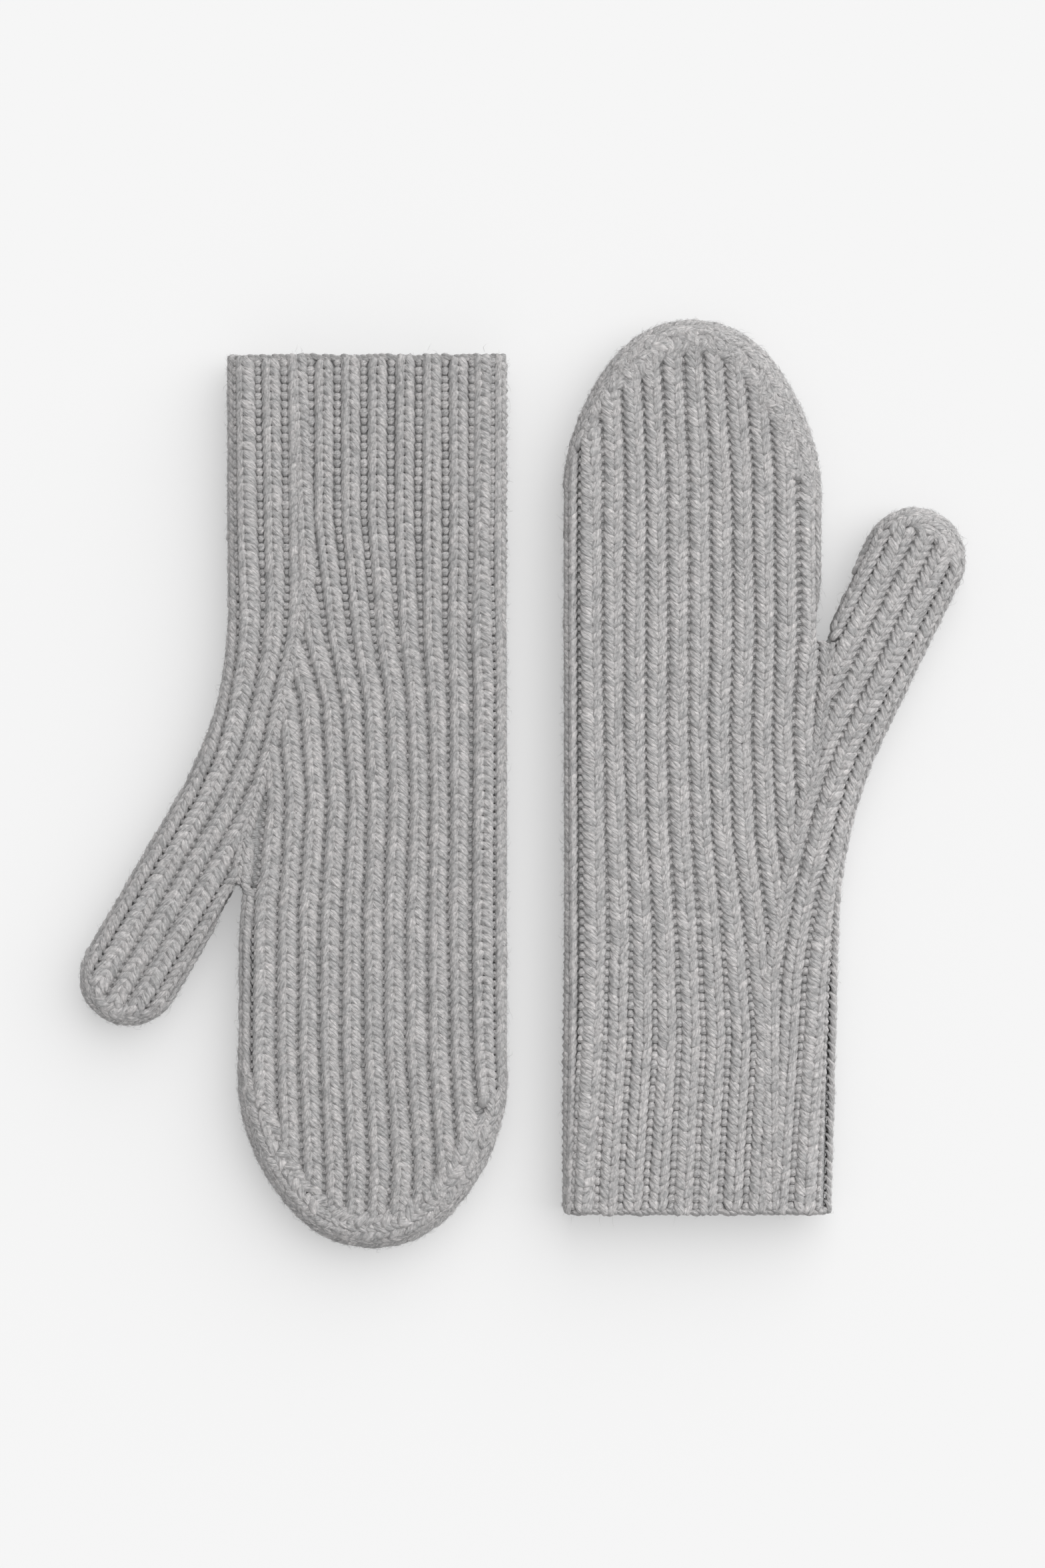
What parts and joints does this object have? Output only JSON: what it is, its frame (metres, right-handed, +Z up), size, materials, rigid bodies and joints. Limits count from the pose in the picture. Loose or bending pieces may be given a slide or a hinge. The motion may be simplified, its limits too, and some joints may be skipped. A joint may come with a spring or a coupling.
{
  "type": "knit mittens",
  "caption": "Pair of long ribbed knit mittens with gusset thumbs, laid flat; wrist, knuckles and thumb bend.",
  "frame": {"origin": "under the middle of the pair, on the surface that it lies on", "axes": "+Z up, away from the surface; +Y along the right mitten's fingers; +X from the left mitten to the right one"},
  "size_m": [0.2976, 0.3116, 0.016],
  "materials": {
    "left_knit": "soft heathered light grey rib knit in thick woollen yarn",
    "right_knit": "soft heathered light grey rib knit in thick woollen yarn",
    "linking_yarn": "the same grey yarn, linked in a tight seam",
    "label_tape": "blank woven tape, satin",
    "label_thread": "sewing thread"
  },
  "bodies": {
    "left_hand": {"left_gusset_back": "left_knit", "left_gusset_palm": "left_knit", "left_hand_back": "left_knit", "left_hand_palm": "left_knit", "left_hand_seam": "linking_yarn"},
    "left_cuff": {"left_care_label": "label_tape", "left_cuff_back": "left_knit", "left_cuff_edge": "left_knit", "left_cuff_palm": "left_knit", "left_cuff_seam": "linking_yarn", "left_label_stitches": "label_thread"},
    "left_fingers": {"left_crown_cap": "left_knit", "left_fingers_back": "left_knit", "left_fingers_palm": "left_knit", "left_fingers_seam": "linking_yarn"},
    "left_thumb": {"left_thumb_back": "left_knit", "left_thumb_palm": "left_knit"},
    "right_hand": {"right_gusset_back": "right_knit", "right_gusset_palm": "right_knit", "right_hand_back": "right_knit", "right_hand_palm": "right_knit", "right_hand_seam": "linking_yarn"},
    "right_cuff": {"right_cuff_back": "right_knit", "right_cuff_edge": "right_knit", "right_cuff_palm": "right_knit", "right_cuff_seam": "linking_yarn"},
    "right_fingers": {"right_crown_cap": "right_knit", "right_fingers_back": "right_knit", "right_fingers_palm": "right_knit", "right_fingers_seam": "linking_yarn"},
    "right_thumb": {"right_thumb_back": "right_knit", "right_thumb_palm": "right_knit"}
  },
  "joints": [
    {"name": "pair_slide", "type": "slide", "parent": "left_hand", "child": "right_hand", "axis": [1, 0, 0], "range_m": [0, 0.15]},
    {"name": "left_wrist_bend", "type": "hinge", "parent": "left_hand", "child": "left_cuff", "pos_m": [-0.0524, 0.0742, 0.008], "axis": [-1, 0, 0], "range_deg": [-50, 50]},
    {"name": "left_finger_curl", "type": "hinge", "parent": "left_hand", "child": "left_fingers", "pos_m": [-0.0506, -0.0628, 0.008], "axis": [1, 0, 0], "range_deg": [-30, 60]},
    {"name": "left_thumb_curl", "type": "hinge", "parent": "left_hand", "child": "left_thumb", "pos_m": [-0.1133, -0.03599, 0.008], "axis": [0.8572, -0.515, 0], "range_deg": [-30, 55]},
    {"name": "right_wrist_bend", "type": "hinge", "parent": "right_hand", "child": "right_cuff", "pos_m": [0.0601, -0.0727, 0.008], "axis": [-1, 0, 0], "range_deg": [-50, 50]},
    {"name": "right_finger_curl", "type": "hinge", "parent": "right_hand", "child": "right_fingers", "pos_m": [0.0572, 0.0673, 0.008], "axis": [1, 0, 0], "range_deg": [-30, 60]},
    {"name": "right_thumb_curl", "type": "hinge", "parent": "right_hand", "child": "right_thumb", "pos_m": [0.11819, 0.04758, 0.008], "axis": [0.9063, -0.4226, 0], "range_deg": [-30, 55]}
  ]
}
